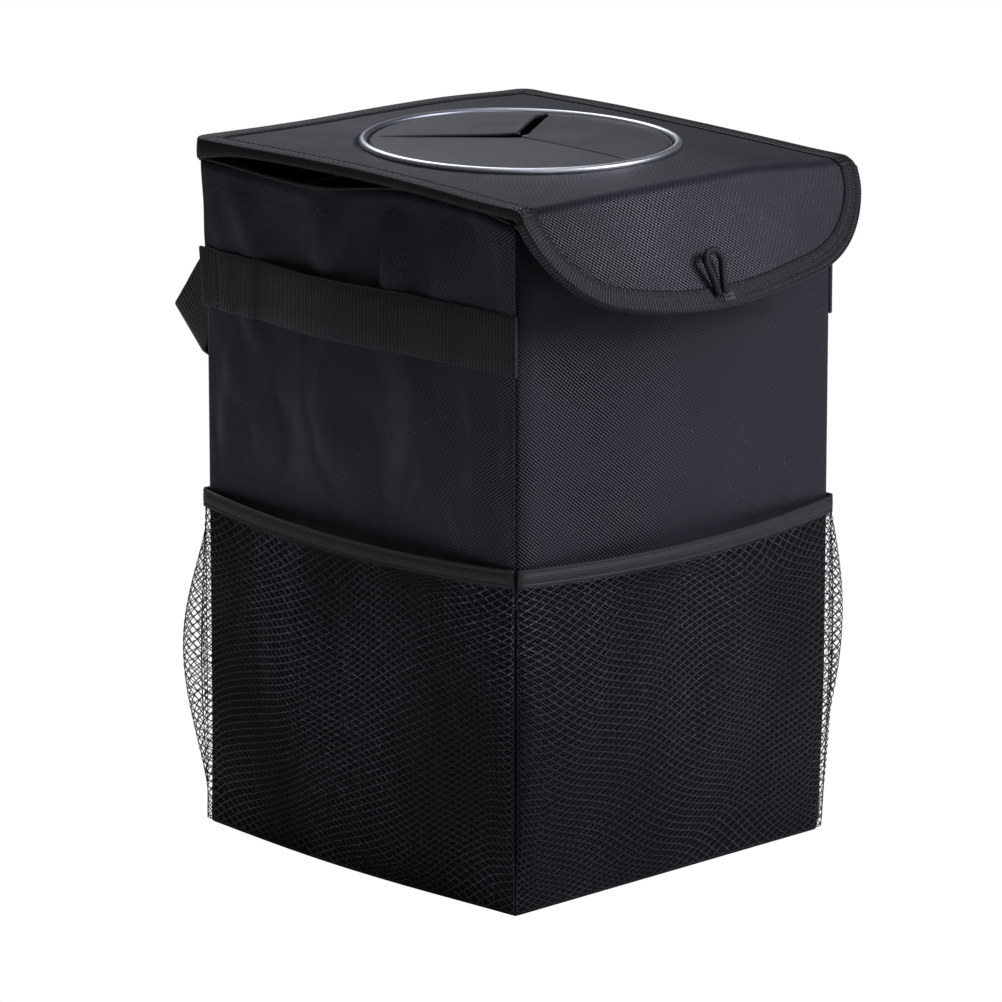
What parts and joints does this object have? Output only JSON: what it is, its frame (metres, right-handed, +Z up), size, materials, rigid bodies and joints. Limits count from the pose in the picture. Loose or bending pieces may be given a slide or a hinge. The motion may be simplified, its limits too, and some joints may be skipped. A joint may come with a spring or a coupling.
{
  "type": "car trash bin",
  "caption": "Upright soft-sided car bin with net pockets, side webbing, a strap behind and a hinged lid with a slit rubber opening.",
  "frame": {"origin": "centre of the underside of the base, on the surface the bin stands on", "axes": "+Z up, +X to the right of someone facing the flap, +Y from the flap to the hinge at the back"},
  "size_m": [0.2145, 0.2451, 0.2924],
  "materials": {
    "oxford_cloth": "coarse coated weave",
    "lining_cloth": "plain lining cloth",
    "binding_tape": "ribbed tape",
    "webbing": "woven webbing",
    "pocket_net": "knitted diamond net",
    "elastic_cord": "braided round cord",
    "hook_and_loop": "fuzzy closure tape",
    "stiffener_board": "flat board",
    "waterproof_liner": "soft sheet",
    "buckle_plastic": "moulded, lightly grained",
    "retainer_plastic": "moulded",
    "silver_ring": "satin silver plating",
    "rubber_membrane": "satin"
  },
  "bodies": {
    "bin": {"base_panel": "oxford_cloth", "front_panel": "oxford_cloth", "back_panel": "oxford_cloth", "left_panel": "oxford_cloth", "right_panel": "oxford_cloth", "corner_seam_front_left": "oxford_cloth", "corner_seam_front_right": "oxford_cloth", "corner_seam_back_left": "oxford_cloth", "corner_seam_back_right": "oxford_cloth", "base_board": "stiffener_board", "front_board": "stiffener_board", "back_board": "stiffener_board", "liner": "waterproof_liner", "mouth_hem": "oxford_cloth", "front_net": "pocket_net", "back_net": "pocket_net", "left_net": "pocket_net", "right_net": "pocket_net", "front_net_hem": "binding_tape", "back_net_hem": "binding_tape", "left_net_hem": "binding_tape", "right_net_hem": "binding_tape", "left_band": "webbing", "right_band": "webbing", "strap_left": "webbing", "strap_right": "webbing", "buckle_socket": "buckle_plastic", "buckle_plug": "buckle_plastic", "strap_slider": "buckle_plastic", "wall_patch": "hook_and_loop", "hinge_tape": "binding_tape"},
    "lid": {"lid_cover": "oxford_cloth", "lid_board": "stiffener_board", "lid_lining": "lining_cloth", "lid_binding": "binding_tape", "ring_trim": "silver_ring", "ring_retainer": "retainer_plastic", "slit_membrane": "rubber_membrane"},
    "flap": {"flap_cover": "oxford_cloth", "flap_board": "stiffener_board", "flap_lining": "lining_cloth", "flap_binding": "binding_tape", "flap_patch": "hook_and_loop", "pull_loop": "elastic_cord"}
  },
  "joints": [
    {"name": "lid_hinge", "type": "hinge", "parent": "bin", "child": "lid", "pos_m": [0, 0.0942, 0.2842], "axis": [-1, 0, 0], "range_deg": [0, 180]},
    {"name": "flap_fold", "type": "hinge", "parent": "lid", "child": "flap", "pos_m": [0, -0.098, 0.2886], "axis": [-1, 0, 0], "range_deg": [-24, 64.5]}
  ]
}
